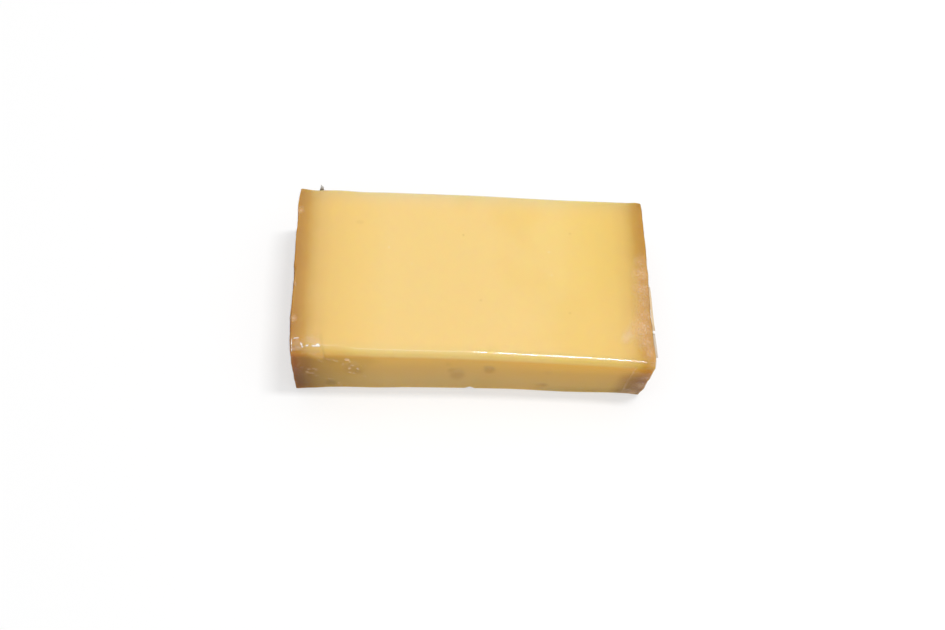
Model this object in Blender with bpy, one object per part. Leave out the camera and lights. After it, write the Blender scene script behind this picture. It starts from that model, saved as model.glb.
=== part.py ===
"""A portion of comté cheese: a flat slab sealed in tight clear film, modelled out to the film.

Metres, +Z up. X runs along the slab, which is as long as the wheel was high, so both short ends
are rind, and the top, the underside and the two long sides are cut faces. The slab lies on its
underside. The origin is the centre of the foot of its box, and -Y is the long side with eyes.
"""

import bpy
import numpy as np
from mathutils import Vector, noise

MM = 0.001

# The slab's box, before its ends and sides are made uneven
LENGTH = 114.5 * MM
WIDTH = 60.5 * MM
HEIGHT = 26.2 * MM

# How far each edge rounds off along X, Y and Z: rind stays crisp in plan, cut edges go soft
EDGE_RADII = np.array([0.9, 1.9, 1.9]) * MM

# The slab is thicker at its left end than at its right, by this share of its height each way
THINNING = 0.055

# Where the wire ran: the front is hollow along its middle, leans back at the top of its left end
# and out at the top of its right end, and the back is a little hollow too
FRONT_HOLLOW = 0.85 * MM
LEAN_BACK_LEFT = 0.9 * MM
LEAN_OUT_RIGHT = 1.0 * MM
BACK_HOLLOW = 0.2 * MM
CUT_WAVE_SIZE = 26.0 * MM
CUT_WAVE_HEIGHT = 0.14 * MM

# Rind ends: a shallow bulge, a foot drawn in, and low crags. Each end's shape fades out over END_ZONE,
# a share of half the slab
END_BULGE_AT_TOP = 0.24 * MM
END_BULGE_HALF_WAY_UP = 0.6 * MM
RIGHT_END_BULGE_SHARE = 0.6
FOOT_IN = 0.5 * MM
CRAG_SIZES = (8.0 * MM, 3.5 * MM)
CRAG_HEIGHTS = (0.32 * MM, 0.16 * MM)
END_ZONE = 1 / 3

# The top falls off softly towards each edge, more than the rounding alone
FRONT_FALL_WIDTH = 3.0 * MM
FRONT_FALL = 0.2 * MM
BACK_FALL_WIDTH = 5.0 * MM
BACK_FALL = 0.4 * MM
END_FALL_WIDTH = 3.0 * MM
END_FALL = 0.2 * MM
WORN_CORNER_REACH = 3.2 * MM
WORN_CORNER_DEPTH = 0.8 * MM

# Shallow hollows in the two long sides: (x, z, width, height, depth). Most are eyes, and the widest
# in front is a dent that the film spans
FRONT_HOLLOWS = (
    (-4.9 * MM, 13.0 * MM, 5.8 * MM, 7.4 * MM, 0.50 * MM),
    (5.0 * MM, 17.1 * MM, 4.8 * MM, 6.0 * MM, 0.45 * MM),
    (22.8 * MM, 6.4 * MM, 4.6 * MM, 5.4 * MM, 0.30 * MM),
    (-38.2 * MM, 15.6 * MM, 8.4 * MM, 12.0 * MM, 0.35 * MM),
)
BACK_HOLLOWS = (
    (-31.0 * MM, 15.6 * MM, 5.2 * MM, 6.0 * MM, 0.50 * MM),
    (13.5 * MM, 10.4 * MM, 6.0 * MM, 6.6 * MM, 0.50 * MM),
    (34.0 * MM, 17.0 * MM, 4.2 * MM, 4.8 * MM, 0.40 * MM),
)

# A chip out of the front lower edge
CHIP_X = 0.6 * MM
CHIP_HALF_WIDTH = 1.8 * MM
CHIP_HEIGHT = 3.2 * MM
CHIP_DEPTH = 1.2 * MM

# Lattice that the surface is drawn on
SPACING = (2.6 * MM, 3.0 * MM, 2.5 * MM)
TURN_DEGREES = (15.0, 30.0, 45.0)
CLOSEST_LINES = 0.9 * MM

# How far the noise pattern moves from one use of it to the next
NOISE_STEP = Vector((17.3, 5.9, 11.1))

PASTE_COLOUR = (0.92, 0.66, 0.25, 1.0)
PASTE_ROUGHNESS = 0.3


def clear_scene():
    for thing in list(bpy.data.objects):
        bpy.data.objects.remove(thing, do_unlink=True)


def lattice_lines(half, radius, spacing, wanted=()):
    """Places of the lattice's planes along one axis: even ones, wanted ones, and a fan over each edge."""
    flat = half - radius
    even = np.linspace(-flat, flat, round(2 * flat / spacing) + 1)
    kept = [line for line in even if all(abs(line - place) > CLOSEST_LINES for place in wanted)]
    fan = flat + radius * np.tan(np.radians(TURN_DEGREES))
    return np.array(sorted([*-fan, *kept, *wanted, *fan]))


def lattice_shell(lines):
    """The points and quads of the outside of a lattice, each quad facing out."""
    points, quads, numbers = [], [], {}

    def number(place):
        if place not in numbers:
            numbers[place] = len(points)
            points.append([lines[axis][place[axis]] for axis in range(3)])
        return numbers[place]

    for axis in range(3):
        across, along = (axis + 1) % 3, (axis + 2) % 3
        last = len(lines[axis]) - 1
        for side in (0, last):
            for i in range(len(lines[across]) - 1):
                for j in range(len(lines[along]) - 1):
                    ring = []
                    for step_i, step_j in ((0, 0), (1, 0), (1, 1), (0, 1)):
                        place = [0, 0, 0]
                        place[axis] = side
                        place[across] = i + step_i
                        place[along] = j + step_j
                        ring.append(number(tuple(place)))
                    quads.append(ring if side == last else ring[::-1])
    return np.array(points), quads


def round_edges(points, half):
    """Moves the points of a sharp box's shell onto the same box with rounded edges and corners."""
    inner = np.clip(points, EDGE_RADII - half, half - EDGE_RADII)
    out = (points - inner) / EDGE_RADII
    return inner + EDGE_RADII * out / np.linalg.norm(out, axis=1, keepdims=True)


def ease(share):
    """0 up to share 0 and 1 from share 1 on, with a smooth rise between."""
    t = np.clip(share, 0.0, 1.0)
    return t * t * (3.0 - 2.0 * t)


def fall(distance, width):
    """1 at the edge, 0 from width inwards, flat there."""
    return np.clip(1.0 - distance / width, 0.0, 1.0) ** 2


def waves(points, size, pattern):
    """Smooth noise between about -1 and 1 whose bumps are size apart, one pattern for each number."""
    shift = pattern * NOISE_STEP
    return np.array([noise.noise(Vector(point) / size + shift) for point in points])


def hollows(across, up, ovals):
    """How deep the oval hollows of a side are at each point."""
    deep = np.zeros_like(across)
    for x, z, width, height, depth in ovals:
        reach = np.hypot((across - x) / (width / 2), (up - z) / (height / 2))
        deep += depth * np.cos(np.clip(reach, 0.0, 1.0) * np.pi / 2) ** 2
    return deep


def slab_form(points, half):
    """The true, uneven slab: each point of the rounded box moved to where it is on the cheese."""
    x, y, z = (points + (0.0, 0.0, half[2])).T
    u, v, w = x / half[0], y / half[1], z / HEIGHT
    on_left, on_right = ease((END_ZONE - 1 - u) / END_ZONE), ease((END_ZONE - 1 + u) / END_ZONE)
    on_front, on_back = ease(-v), ease(v)

    wave = CUT_WAVE_HEIGHT * waves(points, CUT_WAVE_SIZE, 1)
    lean = np.where(u < 0, -LEAN_BACK_LEFT, LEAN_OUT_RIGHT) * u * u * w
    chip = CHIP_DEPTH * fall(np.hypot((x - CHIP_X) / CHIP_HALF_WIDTH, z / CHIP_HEIGHT), 1.0)
    front_in = FRONT_HOLLOW * (1 - u * u) - lean + hollows(x, z, FRONT_HOLLOWS) + chip + wave
    back_in = BACK_HOLLOW * (1 - u * u) + hollows(x, z, BACK_HOLLOWS) + wave
    new_y = y + on_front * front_in - on_back * back_in

    crags = np.zeros_like(x)
    for pattern, (size, height) in enumerate(zip(CRAG_SIZES, CRAG_HEIGHTS), start=2):
        crags += height * waves(points, size, pattern)
    half_way_up = 4 * w * (1 - w)
    bulge = END_BULGE_AT_TOP + (END_BULGE_HALF_WAY_UP - END_BULGE_AT_TOP) * half_way_up
    bulge *= 1 - v * v
    rind = crags - FOOT_IN * (1 - w) ** 2
    new_x = x - on_left * (bulge + rind) + on_right * (RIGHT_END_BULGE_SHARE * bulge + rind)

    drop = FRONT_FALL * fall(y + half[1], FRONT_FALL_WIDTH)
    drop += BACK_FALL * fall(half[1] - y, BACK_FALL_WIDTH)
    drop += END_FALL * fall(half[0] - np.abs(x), END_FALL_WIDTH)
    drop += WORN_CORNER_DEPTH * fall(np.hypot(x - half[0], y - half[1]), WORN_CORNER_REACH)
    new_z = z * (1 - THINNING * u) - (drop - wave) * w**2

    new_points = np.stack([new_x, new_y, new_z], axis=1)
    middle = (new_points.min(axis=0) + new_points.max(axis=0)) / 2
    return new_points - (middle[0], middle[1], 0.0)


def paste_material():
    material = bpy.data.materials.new("filmed_paste")
    material.use_nodes = True
    shader = material.node_tree.nodes["Principled BSDF"]
    shader.inputs["Base Color"].default_value = PASTE_COLOUR
    shader.inputs["Roughness"].default_value = PASTE_ROUGHNESS
    shader.inputs["Metallic"].default_value = 0.0
    return material


def make_wrapped_cheese():
    half = np.array([LENGTH, WIDTH, HEIGHT]) / 2
    chip_lines = (CHIP_X - CHIP_HALF_WIDTH, CHIP_X, CHIP_X + CHIP_HALF_WIDTH)
    lines = [
        lattice_lines(half[0], EDGE_RADII[0], SPACING[0], chip_lines),
        lattice_lines(half[1], EDGE_RADII[1], SPACING[1]),
        lattice_lines(half[2], EDGE_RADII[2], SPACING[2]),
    ]
    points, quads = lattice_shell(lines)
    points = slab_form(round_edges(points, half), half)
    mesh = bpy.data.meshes.new("wrapped_cheese")
    mesh.from_pydata(points.tolist(), [], quads)
    mesh.materials.append(paste_material())
    mesh.shade_smooth()
    cheese = bpy.data.objects.new("wrapped_cheese", mesh)
    bpy.context.scene.collection.objects.link(cheese)
    return cheese


clear_scene()
make_wrapped_cheese()
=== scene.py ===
"""Looks of a comté portion sealed in tight clear film: the cheese, the film, a floor and soft light.

Metres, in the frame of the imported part. X runs along the slab, both short ends are rind, and -Y is
the long side with eyes. A table whose comment says mm holds plain millimetres.
"""

import math

import bpy
import numpy as np
from mathutils import Matrix, Vector, noise


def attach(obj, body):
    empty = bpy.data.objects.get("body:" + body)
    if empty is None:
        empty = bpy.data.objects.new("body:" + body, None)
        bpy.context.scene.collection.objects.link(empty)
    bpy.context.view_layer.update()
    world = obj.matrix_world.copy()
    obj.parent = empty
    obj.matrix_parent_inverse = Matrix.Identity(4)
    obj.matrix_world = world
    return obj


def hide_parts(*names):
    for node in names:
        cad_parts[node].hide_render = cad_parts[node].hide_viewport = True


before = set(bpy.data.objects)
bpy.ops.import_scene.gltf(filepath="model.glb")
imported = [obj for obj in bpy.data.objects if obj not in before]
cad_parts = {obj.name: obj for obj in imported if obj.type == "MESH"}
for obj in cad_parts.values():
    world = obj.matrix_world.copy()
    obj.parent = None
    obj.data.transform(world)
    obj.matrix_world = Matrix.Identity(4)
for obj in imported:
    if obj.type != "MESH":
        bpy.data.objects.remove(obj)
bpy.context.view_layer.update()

MM = 0.001

# The slab's box, before its ends and sides are made uneven
LENGTH = 114.5 * MM
WIDTH = 60.5 * MM
HEIGHT = 26.2 * MM

# The slab is thicker at its left end than at its right, by this share of its height each way
THINNING = 0.055

# How far each edge rounds off along X, Y and Z, and how squarely the ends turn into the sides
EDGE_RADII = np.array([0.9, 1.9, 1.9]) * MM
END_CRISPNESS = 4.0

# The long edges are crisper close to the ends, and the front's top edge is softer at its left end
CORNER_RADIUS = 0.9 * MM
CORNER_REACH = 5.0 * MM
SOFT_EDGE_RADIUS = 3.0 * MM
SOFT_EDGE_FROM = -36.0 * MM
SOFT_EDGE_FULL = -44.0 * MM

# Where the wire ran: the front is hollow along its middle, leans back at the top of its left end
# and out at the top of its right end, and the back is a little hollow too
FRONT_HOLLOW = 0.85 * MM
LEAN_BACK_LEFT = 0.9 * MM
LEAN_OUT_RIGHT = 1.0 * MM
BACK_HOLLOW = 0.2 * MM
CUT_WAVE_SIZE = 26.0 * MM
CUT_WAVE_HEIGHT = 0.14 * MM

# Rind ends: a shallow bulge, a foot drawn in, and low crags. Each end's shape fades out over
# END_ZONE, a share of half the slab
END_BULGE_AT_TOP = 0.24 * MM
END_BULGE_HALF_WAY_UP = 0.6 * MM
RIGHT_END_BULGE_SHARE = 0.6
FOOT_IN = 0.5 * MM
CRAG_SIZES = (8.0 * MM, 3.5 * MM)
CRAG_HEIGHTS = (0.32 * MM, 0.16 * MM)
END_ZONE = 1 / 3

# The top falls off softly towards each edge, more than the rounding alone
FRONT_FALL_WIDTH = 3.0 * MM
FRONT_FALL = 0.3 * MM
BACK_FALL_WIDTH = 5.0 * MM
BACK_FALL = 0.4 * MM
END_FALL_WIDTH = 3.0 * MM
END_FALL = 0.2 * MM
WORN_CORNER_REACH = 3.2 * MM
WORN_CORNER_DEPTH = 0.8 * MM

# A chip out of the front lower edge
CHIP_X = -0.1 * MM
CHIP_HALF_WIDTH = 1.8 * MM
CHIP_HEIGHT = 3.4 * MM
CHIP_DEPTH = 1.8 * MM

# How far the noise moves from one pattern to the next, and the first pattern of each use
NOISE_STEP = Vector((17.3, 5.9, 11.1))
CUT_WAVE_PATTERN = 1
CRAG_PATTERN = 2
RIND_GRAIN_PATTERN = 5
PASTE_GRAIN_PATTERN = 8

# Where the rind stands out a little more, or less, -1 being the left end and 1 the right end:
# (end, y, z, reach along Y, reach along Z, height)
RIND_SWELLS = (
    (-1, -20.0 * MM, 21.0 * MM, 11.0 * MM, 11.0 * MM, 0.65 * MM),
    (-1, 31.0 * MM, 26.0 * MM, 9.0 * MM, 9.0 * MM, -0.55 * MM),
    (1, 10.0 * MM, 26.0 * MM, 30.0 * MM, 30.0 * MM, -0.36 * MM),
    (1, 30.0 * MM, 26.0 * MM, 9.0 * MM, 12.0 * MM, -0.40 * MM),
    (1, -12.0 * MM, 25.0 * MM, 15.0 * MM, 14.0 * MM, -0.65 * MM),
    (1, -30.2 * MM, 24.0 * MM, 4.6 * MM, 9.0 * MM, -0.62 * MM),
    (1, -30.2 * MM, 13.0 * MM, 4.0 * MM, 8.0 * MM, -0.38 * MM),
    (1, -30.2 * MM, 2.0 * MM, 6.0 * MM, 7.0 * MM, -0.55 * MM),
)

# Where the front's foot stands out a little more: (x, reach, height)
FOOT_SWELLS = (
    (31.0 * MM, 20.0 * MM, 0.40 * MM),
    (-30.0 * MM, 11.0 * MM, 0.22 * MM),
    (-52.0 * MM, 7.0 * MM, 0.30 * MM),
)

# Where the back's top edge stands out a little more, or less: (x, reach, height)
BACK_SWELLS = (
    (0.0 * MM, 34.0 * MM, 0.35 * MM),
    (-54.0 * MM, 11.0 * MM, -0.50 * MM),
    (-36.0 * MM, 9.0 * MM, -0.25 * MM),
)

# Hollows in the long sides: (x, z, width, height, depth)
FRONT_HOLLOWS = (
    (-4.9 * MM, 13.0 * MM, 5.8 * MM, 8.4 * MM, 0.30 * MM),
    (5.0 * MM, 17.1 * MM, 4.8 * MM, 6.6 * MM, 0.28 * MM),
    (22.8 * MM, 6.4 * MM, 4.6 * MM, 5.4 * MM, 0.30 * MM),
    (-38.2 * MM, 15.6 * MM, 8.4 * MM, 12.0 * MM, 0.35 * MM),
)
BACK_HOLLOWS = (
    (-31.0 * MM, 15.6 * MM, 5.2 * MM, 6.0 * MM, 0.50 * MM),
    (13.5 * MM, 10.4 * MM, 6.0 * MM, 6.6 * MM, 0.50 * MM),
    (34.0 * MM, 17.0 * MM, 4.2 * MM, 4.8 * MM, 0.40 * MM),
)

# Painted shade in the eyes of the front and the back, and round the loose film on the front, in mm:
# (x, z, width, height, strength)
FRONT_EYE_SHADES = (
    (-4.9, 12.7, 6.4, 12.6, 0.75),
    (-6.7, 15.4, 3.6, 5.4, 0.9),
    (5.1, 16.9, 4.8, 8.2, 0.75),
    (3.9, 18.6, 2.2, 4.0, 1.0),
    (-8.3, 20.2, 1.8, 4.2, 0.55),
    (23.5, 16.4, 2.6, 4.6, 0.4),
    (22.8, 6.4, 5.4, 6.4, 0.3),
    (21.6, 4.0, 3.0, 3.6, 0.25),
    (-13.8, 17.0, 3.0, 2.6, 0.25),
    (-25.6, 24.2, 2.4, 2.2, 0.4),
    (-34.4, 16.6, 3.2, 9.0, 0.35),
    (-38.0, 16.0, 9.0, 12.0, 0.35),
    (-38.5, 21.5, 22.0, 10.0, 0.5),
)
BACK_EYE_SHADES = (
    (-31.0, 15.6, 5.6, 7.4, 0.8),
    (13.5, 10.4, 6.4, 8.0, 0.7),
    (34.0, 17.0, 4.6, 5.6, 0.7),
    (-9.0, 18.5, 2.0, 2.6, 0.5),
    (25.0, 7.5, 2.6, 3.0, 0.3),
    (-22.5, 8.0, 1.8, 2.0, 0.4),
)

# What a place is, by how far its surface faces along an axis: (begins, is complete)
FACES_END = (0.50, 0.85)
FACES_RIND_LINE = (0.10, 0.45)
FACES_FRONT_OR_BACK = (0.0, 0.5)
FACES_SIDEWAYS = (0.20, 0.60)
FACES_UP = (0.30, 0.70)
FACES_STRAIGHT_UP = (0.75, 0.95)

# How far in from the top's back and front edges a painted reflection makes the paste greyer and bluer
BACK_REFLECTION_REACH = 9.0 * MM
FRONT_REFLECTION_REACH = 6.0 * MM

# Where painted shade of the sides and the front's ends begins and is complete: down from the top, along X
SIDE_SHADE_DOWN = (0.6 * MM, 3.2 * MM)
SHADE_LEFT_DOWN = (1.0 * MM, 5.0 * MM)
SHADE_LEFT_ALONG = (-26.0 * MM, -58.0 * MM)
SHADE_RIGHT_DOWN = (2.2 * MM, 13.0 * MM)
SHADE_RIGHT_ALONG = (44.5 * MM, 52.5 * MM)

# Where the paste turns golden, along X and along Y, and how golden it is at the front
GOLDEN_ALONG = (5.0 * MM, 45.0 * MM)
GOLDEN_BACKWARDS = (-18.0 * MM, 6.0 * MM)
GOLDEN_AT_FRONT = 0.3

# Between these places the film bridges the front's top edge, and the sides' painted shade begins further
# down there, with a share of it painted on the bridged edge. It sets in slowly from the left, and stops
# within SHELF_END at the right
SHELF_FROM = -53.0 * MM
SHELF_TO = -47.4 * MM
SHELF_END = 0.9 * MM
SHELF_DEPTH = 1.8 * MM
SHELF_TONE_SHARE = 0.6
SHELF_TONE_FROM = 1.0 * MM
SHELF_TONE_DEPTH = 1.2 * MM

# Lattice spacing of the fine surface, and the degrees at which its fan cuts each edge
SPACING = 0.84 * MM
TURN_DEGREES = np.arange(1, 7) * 7.5

# Finer stretches of the lattice, where the film is creased: (from, to, spacing)
FINE_X = (
    (-58.0 * MM, -33.0 * MM, 0.25 * MM),
    (3.0 * MM, 5.8 * MM, 0.25 * MM),
    (46.0 * MM, 58.0 * MM, 0.35 * MM),
)
FINE_Y = ((-31.0 * MM, -23.5 * MM, 0.22 * MM),)
FINE_Z = ((0.0 * MM, 27.0 * MM, 0.35 * MM),)

# The film lies this far off the paste where it is tight, and off the rind, and spans this share of
# a hollow
FILM_GAP = 0.07 * MM
RIND_GAP = 0.12 * MM
FILM_SPANS = 0.6

# Creases of the film, which stand proud where it is tight, in mm: (height, half width, haze, points)
CREASES = (
    (
        0.10, 0.30, 0.00,
        ((-47.7, -20.0, 27.3), (-47.0, -24.5, 27.3), (-46.2, -28.0, 26.6), (-46.2, -29.1, 24.0)),
    ),
    (0.16, 0.35, 0.20, ((-46.2, -29.1, 23.6), (-45.2, -29.1, 22.7), (-43.4, -29.1, 22.3))),
    (0.12, 0.40, 0.20, ((-43.9, -29.1, 22.4), (-42.8, -29.1, 21.2))),
    (0.10, 0.30, 0.18, ((-48.4, -29.1, 22.2), (-47.2, -29.1, 20.8))),
    (0.14, 0.24, 0.26, ((50.7, -30.2, 24.4), (50.4, -30.4, 22.4), (50.3, -30.3, 19.0))),
    (0.14, 0.22, 0.16, ((50.3, -30.3, 18.4), (50.2, -30.2, 15.0), (50.0, -30.1, 11.0))),
    (0.14, 0.26, 0.22, ((50.0, -30.1, 10.4), (50.1, -29.9, 7.0), (50.2, -29.8, 3.0))),
    (0.06, 0.30, 0.07, ((-55.8, -29.2, 9.5), (-53.8, -29.2, 17.5))),
    (0.06, 0.30, 0.08, ((-54.6, -29.2, 5.0), (-52.2, -29.2, 13.0))),
    (0.06, 0.30, 0.06, ((-53.4, -29.2, 2.5), (-51.2, -29.2, 9.5))),
    (0.06, 0.30, 0.06, ((-55.9, -29.2, 14.5), (-54.4, -29.2, 20.0))),
    (0.18, 0.90, 0.10, ((57.2, -28.0, 24.0), (57.9, -15.0, 13.5), (57.9, 14.0, 12.5), (57.2, 28.0, 23.0))),
    (0.14, 0.80, 0.08, ((57.0, -28.0, 1.5), (57.9, -15.0, 13.5))),
    (0.14, 0.80, 0.08, ((57.0, 28.0, 1.5), (57.9, 14.0, 12.5))),
    (
        0.18, 0.90, 0.10,
        ((-57.2, -27.0, 25.5), (-57.9, -13.0, 14.5), (-57.9, 15.0, 13.5), (-57.2, 28.0, 25.0)),
    ),
    (0.14, 0.80, 0.08, ((-57.0, -28.0, 1.5), (-57.9, -13.0, 14.5))),
    (0.14, 0.80, 0.08, ((-57.0, 28.0, 1.5), (-57.9, 15.0, 13.5))),
    (0.14, 0.80, 0.10, ((50.4, 30.4, 23.0), (50.0, 30.2, 12.0), (50.6, 30.0, 2.0))),
    (0.12, 0.80, 0.08, ((-49.0, 30.3, 26.0), (-48.0, 30.1, 15.0), (-49.4, 29.9, 3.0))),
    (0.12, 0.80, 0.06, ((-40.0, 30.2, 18.0), (-36.5, 30.2, 21.5), (-31.0, 30.2, 23.0))),
    (0.00, 0.60, 0.30, ((-56.0, 3.0, 0.0), (-20.0, 2.0, 0.0), (20.0, 3.5, 0.0), (56.0, 2.5, 0.0))),
    (0.00, 0.50, 0.14, ((-56.0, -4.0, 0.0), (-20.0, -4.6, 0.0), (20.0, -3.8, 0.0), (56.0, -4.4, 0.0))),
)

# Painted glints: wrinkles of the film, raised a little and painted white, in mm: (half width, points)
GLINT_FOLDS = (
    (0.30, ((-50.2, -26.9, 27.5), (-49.8, -26.8, 27.5), (-48.9, -26.8, 27.5))),
    (0.40, ((-48.9, -26.6, 27.5), (-48.6, -26.3, 27.5), (-48.2, -26.7, 27.5))),
    (0.22, ((-52.0, -26.8, 27.5), (-51.6, -26.8, 27.5))),
    (0.26, ((-53.7, -26.1, 27.5), (-53.6, -26.3, 27.5))),
    (0.22, ((-53.4, -26.8, 27.5), (-53.1, -27.2, 27.4))),
    (0.14, ((-55.9, -24.4, 27.5), (-54.5, -24.3, 27.5))),
    (0.09, ((-56.58, -24.6, 27.52), (-56.53, -25.7, 27.50))),
    (0.16, ((-56.52, -26.0, 27.50), (-56.5, -26.4, 27.46))),
    (0.10, ((-56.47, -27.0, 27.3), (-56.47, -27.2, 27.2))),
    (0.12, ((-56.46, -27.6, 26.95), (-56.46, -28.0, 26.5))),
)
GLINT_FOLD_HEIGHT = 0.06 * MM

# The painted glint is full up to the first share of a fold's half width, and gone at the second
GLINT_FOLD_EDGE = (0.6, 1.3)

# Painted light and shade on the film, in mm: pale veils where it stands off a little, which also paint
# light onto the shaded rounded edge at the left, and grey lines of painted shade along a crease:
# (half width, cover, grey, points)
PAINTED_VEILS = (
    (1.4, 0.10, 0.0, ((-51.2, -24.6, 27.4), (-49.2, -25.2, 27.4))),
    (0.7, 0.22, 0.0, ((-54.8, -27.5, 27.3), (-53.9, -27.6, 27.3))),
    (1.0, 0.08, 0.0, ((-55.4, -25.4, 27.4), (-54.2, -26.0, 27.4))),
    (0.45, 0.25, 0.0, ((-56.3, -27.6, 26.9), (-55.7, -27.8, 26.8))),
    (0.8, 0.09, 0.0, ((-53.2, -27.9, 26.9), (-48.6, -28.3, 26.6))),
    (0.28, 0.10, 1.0, ((-47.8, -22.8, 27.3), (-47.4, -25.2, 27.3), (-47.1, -27.2, 27.0))),
    (
        0.28, 0.12, 1.0,
        ((-47.1, -27.4, 26.9), (-46.8, -28.4, 26.2), (-46.5, -29.1, 24.8), (-46.7, -29.1, 22.8)),
    ),
    (1.4, 0.14, 0.0, ((48.9, -19.2, 25.0), (47.6, -21.0, 25.0))),
)

# Painted shade: grey patches on the film over the front, in mm: (x, z, width, height, cover)
SHADE_SPOTS = (
    (-45.1, 5.2, 5.0, 4.6, 0.14),
    (-54.6, 7.0, 3.6, 12.0, 0.08),
    (-39.0, 18.2, 2.6, 3.6, 0.06),
    (-36.0, 13.2, 4.2, 3.0, 0.06),
)

# Where the film has less gloss, in mm: (x, y, z, half width, share less). They break the highlight of
# the front edge, and make its right end fainter
DULL_SPOTS = (
    (4.35, -27.15, 26.1, 1.05, 1.0),
    (54.4, -29.0, 24.8, 5.6, 0.65),
)

# The dullness is full up to the first share of a spot's half width, and gone at the second
DULL_SPOT_EDGE = (0.7, 1.0)

# The line, in mm, where the film is stretched over the front edge and shines more, by this share
TIGHT_LINE = (
    (-0.8, -27.16, 26.2),
    (4.0, -27.19, 26.1),
    (12.0, -27.32, 25.9),
    (20.0, -27.5, 25.7),
    (30.0, -27.75, 25.4),
    (40.0, -28.08, 25.2),
    (49.5, -28.5, 24.9),
)
TIGHT_LINE_HALF_WIDTH = 0.5 * MM
TIGHT_LINE_MORE = 0.3

# Milky spots where air is trapped under the film on the front, in mm: (x, z, width, height, strength)
AIR_SPOTS = (
    (-39.6, 22.5, 1.9, 1.9, 0.52),
    (-38.9, 21.2, 0.8, 1.6, 0.34),
    (-41.0, 19.6, 0.9, 1.3, 0.16),
    (-38.1, 17.8, 1.3, 1.5, 0.35),
    (-39.1, 15.4, 1.0, 1.7, 0.31),
    (-36.4, 15.4, 1.1, 1.9, 0.35),
    (-38.9, 12.8, 1.3, 1.0, 0.24),
    (-37.5, 12.4, 1.1, 1.0, 0.21),
    (-34.0, 18.6, 0.8, 1.2, 0.14),
    (-34.2, 10.4, 1.4, 1.6, 0.12),
    (-43.6, 22.4, 1.2, 0.9, 0.16),
    (-42.9, 21.2, 0.9, 1.4, 0.16),
    (-52.2, 13.4, 1.8, 2.0, 0.14),
    (-51.6, 15.4, 1.2, 1.4, 0.12),
    (-50.2, 16.0, 0.9, 1.3, 0.14),
    (-49.4, 15.2, 1.0, 1.6, 0.18),
    (-50.8, 12.6, 2.2, 1.2, 0.12),
    (-49.6, 10.9, 1.3, 1.0, 0.12),
    (-45.6, 8.4, 3.4, 1.0, 0.12),
    (-42.6, 5.0, 1.2, 2.2, 0.14),
    (-42.0, 3.0, 1.6, 1.0, 0.12),
)

# How hazy the film is over trapped air, and how far it is lifted, for each unit of strength
AIR_HAZE = 1.05
AIR_LIFT = 0.15 * MM

# Free edges of the film, in mm: (name, points of the root, how far the rim stands off at each,
# cover at root and rim, cream, grey at root and rim, which paints shade)
FILM_EDGES = (
    (
        "film_edge_right_back",
        (
            (56.6, -2.0, 24.5), (56.6, -6.0, 24.5), (56.6, -10.0, 24.5),
            (56.6, -14.0, 24.5), (56.6, -17.6, 24.5),
        ),
        ((0.5, 0.0, -0.2), (0.65, 0.0, -0.2), (0.65, 0.0, -0.2), (0.7, 0.0, -0.2), (0.85, 0.0, -0.2)),
        (0.85, 0.85),
        1.0,
        (0.0, 0.0),
    ),
    (
        "film_edge_right_front",
        ((56.6, -18.6, 24.5), (56.6, -21.0, 24.5), (56.6, -24.0, 24.5), (56.6, -27.0, 24.5)),
        ((0.7, 0.0, -0.2), (0.8, 0.0, -0.2), (0.92, 0.0, -0.2), (0.95, 0.0, -0.2)),
        (0.75, 0.6),
        0.6,
        (0.3, 0.15),
    ),
    (
        "film_tip_back",
        ((-50.6, 29.9, 26.0), (-49.9, 29.9, 26.0), (-49.1, 29.9, 26.0)),
        ((0.3, 0.6, 0.6), (-0.2, 1.5, 1.4), (-0.1, 0.9, 0.9)),
        (0.95, 0.75),
        0.0,
        (1.0, 0.35),
    ),
)
FILM_EDGE_HALF_THICKNESS = 0.03 * MM

# Fine grain of the rind, and of the paste
RIND_GRAIN_SIZES = (1.9 * MM, 1.0 * MM)
RIND_GRAIN_HEIGHTS = (0.10 * MM, 0.05 * MM)
PASTE_GRAIN_SIZE = 6.0 * MM
PASTE_GRAIN_HEIGHT = 0.02 * MM

# Pale mottling where the rind's bloom has got onto the paste, in mm: (x, y, z, reach, strength)
BLOOM_SPOTS = (
    (55.0, 7.0, 25.0, 3.8, 0.6),
    (54.8, 2.5, 25.0, 4.8, 1.0),
    (54.6, -3.0, 25.0, 5.0, 1.0),
    (54.8, -8.0, 25.0, 4.6, 0.8),
    (54.4, -12.5, 25.0, 5.0, 0.9),
    (53.4, -17.0, 25.0, 5.4, 1.2),
    (54.2, -21.5, 25.0, 4.8, 0.9),
    (55.4, -25.6, 24.8, 3.8, 0.9),
    (56.6, -29.4, 23.5, 3.5, 0.7),
    (56.4, -30.4, 16.0, 4.6, 0.7),
    (55.8, -30.2, 9.0, 5.2, 0.85),
    (53.0, -29.9, 2.4, 5.4, 1.0),
    (-56.4, 21.2, 27.4, 1.7, 1.2),
    (-56.6, -17.6, 27.4, 1.9, 1.2),
    (-57.0, -5.2, 27.4, 1.4, 0.8),
)

# Bloom is worn off along the top's end edges, by this share. It begins at the first share of the
# rind's line and is complete at the second
BLOOM_WORN = 0.8
BLOOM_WORN_FROM = (0.4, 0.9)

# Smooth pale places, which have no speckles, in mm: (x, y, z, reach, strength)
PEACH_SPOTS = (
    (48.9, -19.2, 25.0, 2.9, 1.7),
    (47.6, -21.0, 25.0, 2.5, 1.5),
    (-55.4, -25.4, 27.2, 3.2, 0.7),
    (-50.0, -23.0, 27.2, 3.6, 0.40),
)

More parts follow.
